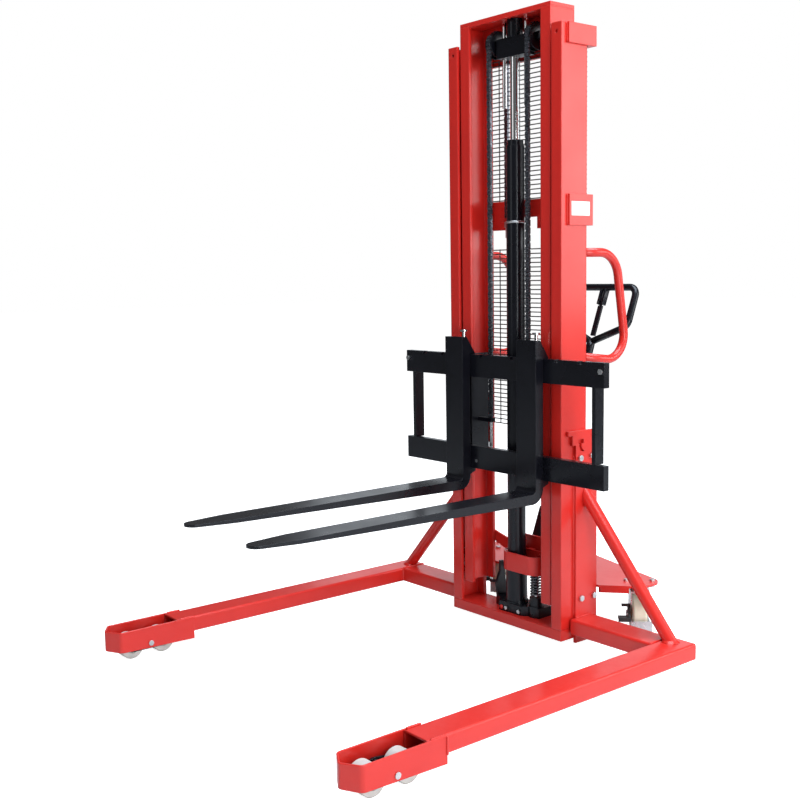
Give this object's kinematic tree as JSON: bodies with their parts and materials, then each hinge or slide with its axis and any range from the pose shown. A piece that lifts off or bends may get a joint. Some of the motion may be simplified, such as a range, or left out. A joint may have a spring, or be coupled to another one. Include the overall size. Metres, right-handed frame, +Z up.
{
  "type": "hand pallet stacker",
  "caption": "Manual straddle stacker with a two-stage mast, hydraulic lift, class 2 fork carriage, tiller and braked casters.",
  "frame": {"origin": "middle of the bounding box on the floor", "axes": "+X across to the near side, -Y towards the fork tips, +Y towards the operator, +Z up"},
  "size_m": [1.44, 1.7657, 2.141],
  "materials": {
    "red_paint": "signal red gloss powder coat on steel",
    "black_paint": "semi-gloss black paint on steel",
    "black_wire": "dark coated wire",
    "chain_steel": "oiled dark leaf chain",
    "zinc": "zinc plated",
    "chrome": "hard chrome, polished",
    "nylon": "cream cast nylon",
    "black_plastic": "moulded black"
  },
  "bodies": {
    "chassis": {"leg_left": "red_paint", "leg_right": "red_paint", "rear_beams": "red_paint", "leg_nose_left": "red_paint", "leg_nose_right": "red_paint", "outer_channel_left": "red_paint", "outer_channel_right": "red_paint", "mast_base": "red_paint", "top_crossmember": "red_paint", "mid_crossmember": "red_paint", "side_plates": "red_paint", "braces": "red_paint", "mesh_guards": "black_wire", "grab_handles": "red_paint", "frame_bolts": "zinc", "deck_plate": "red_paint", "caster_plates": "zinc", "cylinder_barrel": "black_paint", "cylinder_gland": "zinc", "cylinder_strap": "red_paint", "pump_block": "black_paint", "pump_spring": "chain_steel", "rear_chain_runs": "chain_steel", "bogie_pivots": "zinc"},
    "inner_mast": {"inner_channel_left": "red_paint", "inner_channel_right": "red_paint", "inner_top_beam": "red_paint", "guide_rods": "chrome", "mast_rollers": "zinc"},
    "crosshead": {"crosshead": "black_paint", "piston_rod": "chrome", "chain_wraps": "chain_steel"},
    "front_chain": {"front_chain_runs": "chain_steel"},
    "carriage": {"carriage_frame": "black_paint", "upper_bar": "black_paint", "lower_bar": "black_paint", "carriage_bolts": "zinc", "carriage_rollers": "zinc"},
    "bogie_left": {"bogie_left": "black_paint"},
    "bogie_right": {"bogie_right": "black_paint"},
    "load_wheel_front_left": {"load_wheel_front_left": "nylon"},
    "load_wheel_rear_left": {"load_wheel_rear_left": "nylon"},
    "load_wheel_front_right": {"load_wheel_front_right": "nylon"},
    "load_wheel_rear_right": {"load_wheel_rear_right": "nylon"},
    "chain_pulley_left": {"chain_pulley_left": "black_paint"},
    "chain_pulley_right": {"chain_pulley_right": "black_paint"},
    "fork_left": {"fork_left": "black_paint"},
    "fork_right": {"fork_right": "black_paint"},
    "lock_pin_left": {"lock_pin_left": "chrome"},
    "lock_pin_right": {"lock_pin_right": "chrome"},
    "caster_fork_left": {"caster_fork_left": "zinc"},
    "caster_fork_right": {"caster_fork_right": "zinc"},
    "caster_wheel_left": {"caster_wheel_left": "nylon"},
    "caster_wheel_right": {"caster_wheel_right": "nylon"},
    "brake_pedal_left": {"brake_pedal_left": "black_plastic"},
    "brake_pedal_right": {"brake_pedal_right": "black_plastic"},
    "tiller": {"tiller": "black_paint"},
    "release_lever": {"release_lever": "black_paint"},
    "pump_plunger": {"pump_plunger": "chrome"},
    "pump_rocker": {"pump_rocker": "black_paint"}
  },
  "joints": [
    {"name": "mast_lift", "type": "slide", "parent": "chassis", "child": "inner_mast", "axis": [0, 0, 1], "range_m": [-0.073, 1.13], "deforming": ["rear_chain_runs"]},
    {"name": "free_lift", "type": "slide", "parent": "inner_mast", "child": "crosshead", "axis": [0, 0, 1], "range_m": [-0.155, 0]},
    {"name": "chain_travel", "type": "slide", "parent": "crosshead", "child": "front_chain", "axis": [0, 0, 1], "range_m": [-0.073, 1.13], "deforming": ["front_chain_runs"]},
    {"name": "carriage_travel", "type": "slide", "parent": "front_chain", "child": "carriage", "axis": [0, 0, 1], "range_m": [-0.155, 0]},
    {"name": "chain_pulley_spin_left", "type": "hinge", "parent": "crosshead", "child": "chain_pulley_left", "pos_m": [-0.092, 0.40252, 2.057], "axis": [1, 0, 0], "continuous": true},
    {"name": "chain_pulley_spin_right", "type": "hinge", "parent": "crosshead", "child": "chain_pulley_right", "pos_m": [0.092, 0.40252, 2.057], "axis": [1, 0, 0], "continuous": true},
    {"name": "fork_spread_left", "type": "slide", "parent": "carriage", "child": "fork_left", "axis": [-1, 0, 0], "range_m": [-0.102, 0.204]},
    {"name": "fork_spread_right", "type": "slide", "parent": "carriage", "child": "fork_right", "axis": [1, 0, 0], "range_m": [-0.102, 0.204]},
    {"name": "lock_pin_lift_left", "type": "slide", "parent": "fork_left", "child": "lock_pin_left", "axis": [0, 0, 1], "range_m": [0, 0.012]},
    {"name": "lock_pin_lift_right", "type": "slide", "parent": "fork_right", "child": "lock_pin_right", "axis": [0, 0, 1], "range_m": [0, 0.012]},
    {"name": "bogie_tilt_left", "type": "hinge", "parent": "chassis", "child": "bogie_left", "pos_m": [-0.6625, -0.74048, 0.048], "axis": [1, 0, 0], "range_deg": [-4, 4]},
    {"name": "load_wheel_spin_front_left", "type": "hinge", "parent": "bogie_left", "child": "load_wheel_front_left", "pos_m": [-0.6625, -0.79748, 0.04], "axis": [1, 0, 0], "continuous": true},
    {"name": "load_wheel_spin_rear_left", "type": "hinge", "parent": "bogie_left", "child": "load_wheel_rear_left", "pos_m": [-0.6625, -0.68348, 0.04], "axis": [1, 0, 0], "continuous": true},
    {"name": "bogie_tilt_right", "type": "hinge", "parent": "chassis", "child": "bogie_right", "pos_m": [0.6625, -0.74048, 0.048], "axis": [1, 0, 0], "range_deg": [-4, 4]},
    {"name": "load_wheel_spin_front_right", "type": "hinge", "parent": "bogie_right", "child": "load_wheel_front_right", "pos_m": [0.6625, -0.79748, 0.04], "axis": [1, 0, 0], "continuous": true},
    {"name": "load_wheel_spin_rear_right", "type": "hinge", "parent": "bogie_right", "child": "load_wheel_rear_right", "pos_m": [0.6625, -0.68348, 0.04], "axis": [1, 0, 0], "continuous": true},
    {"name": "caster_swivel_left", "type": "hinge", "parent": "chassis", "child": "caster_fork_left", "pos_m": [-0.35, 0.64452, 0.18], "axis": [0, 0, 1], "continuous": true},
    {"name": "caster_wheel_spin_left", "type": "hinge", "parent": "caster_fork_left", "child": "caster_wheel_left", "pos_m": [-0.37475, 0.66927, 0.075], "axis": [-0.7071, -0.7071, 0], "continuous": true},
    {"name": "brake_press_left", "type": "hinge", "parent": "caster_fork_left", "child": "brake_pedal_left", "pos_m": [-0.35283, 0.64734, 0.098], "axis": [0.7071, 0.7071, 0], "range_deg": [0, 12]},
    {"name": "caster_swivel_right", "type": "hinge", "parent": "chassis", "child": "caster_fork_right", "pos_m": [0.35, 0.64452, 0.18], "axis": [0, 0, 1], "continuous": true},
    {"name": "caster_wheel_spin_right", "type": "hinge", "parent": "caster_fork_right", "child": "caster_wheel_right", "pos_m": [0.32525, 0.66927, 0.075], "axis": [-0.7071, -0.7071, 0], "continuous": true},
    {"name": "brake_press_right", "type": "hinge", "parent": "caster_fork_right", "child": "brake_pedal_right", "pos_m": [0.34717, 0.64734, 0.098], "axis": [0.7071, 0.7071, 0], "range_deg": [0, 12]},
    {"name": "tiller_pull", "type": "hinge", "parent": "chassis", "child": "tiller", "pos_m": [0, 0.49752, 0.28], "axis": [-1, 0, 0], "range_deg": [0, 40], "stiffness_Nm_per_rad": 60, "springref_deg": -45.84},
    {"name": "release_squeeze", "type": "hinge", "parent": "tiller", "child": "release_lever", "pos_m": [0, 0.85099, 1.16825], "axis": [1, 0, 0], "range_deg": [0, 12], "stiffness_Nm_per_rad": 1.5, "springref_deg": -17.19},
    {"name": "plunger_stroke", "type": "slide", "parent": "chassis", "child": "pump_plunger", "axis": [0, 0, 1], "range_m": [-0.0136, 0], "deforming": ["pump_spring"]},
    {"name": "rocker_swing", "type": "hinge", "parent": "chassis", "child": "pump_rocker", "pos_m": [0.098, 0.43252, 0.27], "axis": [1, 0, 0], "range_deg": [0, 20.1]}
  ],
  "couplings": [
    {"joint": "chain_travel", "follows": "mast_lift", "ratio": 1},
    {"joint": "carriage_travel", "follows": "free_lift", "ratio": 1},
    {"joint": "plunger_stroke", "follows": "tiller_pull", "m_per_rad": -0.0193},
    {"joint": "rocker_swing", "follows": "tiller_pull", "ratio": 0.5}
  ]
}
